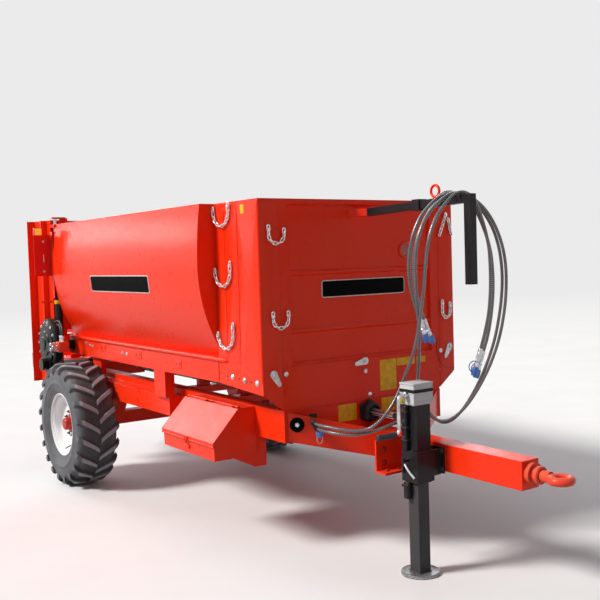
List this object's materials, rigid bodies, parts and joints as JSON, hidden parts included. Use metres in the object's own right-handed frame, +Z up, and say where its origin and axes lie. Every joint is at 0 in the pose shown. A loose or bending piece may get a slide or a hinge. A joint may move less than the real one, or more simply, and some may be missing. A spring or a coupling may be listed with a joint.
{
  "type": "trailed fertilizer spreader",
  "caption": "Single-axle trailed spreader: open curved hopper, chain-and-slat floor, lifting gate, two upright beaters, drawbar with swivel eye and wind-up jack.",
  "frame": {"origin": "middle of the machine's outline, on the ground", "axes": "+X forward to the towing eye, +Y to the machine's left, +Z up"},
  "size_m": [4.704, 1.88, 1.927],
  "materials": {
    "paint": "satin orange-red paint",
    "tyre": "matt rubber",
    "rim_paint": "satin light grey paint",
    "hub_paint": "satin red paint",
    "conveyor_steel": "dull steel",
    "black_paint": "satin black paint",
    "gear_grey": "satin dark grey paint",
    "jack_grey": "satin grey paint",
    "bright_steel": "bright zinc and chrome",
    "guard_plastic": "matt dark plastic",
    "amber_lens": "amber lens",
    "red_lens": "red lens",
    "hose_rubber": "braided rubber hose",
    "coupling_metal": "zinc couplings with caps"
  },
  "bodies": {
    "frame": {"chassis_frame": "paint", "drawbar": "paint", "axle": "paint", "hopper_floor": "paint", "sill_right": "paint", "sill_left": "paint", "side_wall_right": "paint", "side_wall_left": "paint", "front_corner_right": "paint", "front_corner_left": "paint", "front_wall": "paint", "front_apron": "paint", "rear_frame": "paint", "toolbox": "paint", "lamp_boards": "paint", "lifting_ring": "paint", "conveyor": "conveyor_steel", "conveyor_drive": "black_paint", "gate_cylinders": "black_paint", "jack_tube": "black_paint", "jack_clamp": "black_paint", "hose_boom": "black_paint", "hose_glands": "black_paint", "beater_gearbox": "gear_grey", "jack_head": "jack_grey", "jack_crank": "bright_steel", "cam_levers": "bright_steel", "seam_chains": "bright_steel", "pto_guard": "guard_plastic", "marker_lamps": "amber_lens", "rear_lamps": "red_lens", "hose_p1": "hose_rubber", "hose_p2": "hose_rubber", "hose_q1": "hose_rubber", "hose_q2": "hose_rubber", "couplings_p": "coupling_metal", "couplings_q": "coupling_metal"},
    "wheel_right": {"tyre_right": "tyre", "rim_right": "rim_paint", "hub_right": "hub_paint"},
    "wheel_left": {"tyre_left": "tyre", "rim_left": "rim_paint", "hub_left": "hub_paint"},
    "beater_right": {"beater_rotor_right": "paint", "beater_flights_right": "paint"},
    "beater_left": {"beater_rotor_left": "paint", "beater_flights_left": "paint"},
    "line_shaft": {"drive_shaft": "bright_steel"},
    "gate": {"gate": "paint", "gate_rods": "bright_steel"},
    "lid": {"toolbox_lid": "paint"},
    "jack_leg": {"jack_leg": "gear_grey"},
    "eye": {"tow_eye": "paint"}
  },
  "joints": [
    {"name": "wheel_right_spin", "type": "hinge", "parent": "frame", "child": "wheel_right", "pos_m": [-1.217, -0.795, 0.4225], "axis": [0, 1, 0], "continuous": true},
    {"name": "wheel_left_spin", "type": "hinge", "parent": "frame", "child": "wheel_left", "pos_m": [-1.217, 0.795, 0.4225], "axis": [0, 1, 0], "continuous": true},
    {"name": "beater_right_spin", "type": "hinge", "parent": "frame", "child": "beater_right", "pos_m": [-2.034, -0.33, 1.2], "axis": [0, 0, 1], "continuous": true},
    {"name": "beater_left_spin", "type": "hinge", "parent": "frame", "child": "beater_left", "pos_m": [-2.034, 0.33, 1.2], "axis": [0, 0, 1], "continuous": true},
    {"name": "shaft_spin", "type": "hinge", "parent": "frame", "child": "line_shaft", "pos_m": [-0.482, 0, 0.69], "axis": [1, 0, 0], "continuous": true},
    {"name": "gate_slide", "type": "slide", "parent": "frame", "child": "gate", "axis": [0, 0, 1], "range_m": [0, 0.6]},
    {"name": "lid_hinge", "type": "hinge", "parent": "frame", "child": "lid", "pos_m": [0.448, -0.636, 0.7525], "axis": [-1, 0, 0], "range_deg": [0, 100]},
    {"name": "jack_slide", "type": "slide", "parent": "frame", "child": "jack_leg", "axis": [0, 0, 1], "range_m": [0, 0.25]},
    {"name": "eye_swivel", "type": "hinge", "parent": "frame", "child": "eye", "pos_m": [2.168, 0, 0.556], "axis": [1, 0, 0], "continuous": true}
  ],
  "couplings": [
    {"joint": "beater_left_spin", "follows": "beater_right_spin", "ratio": -1},
    {"joint": "shaft_spin", "follows": "beater_right_spin", "ratio": 1.35}
  ]
}
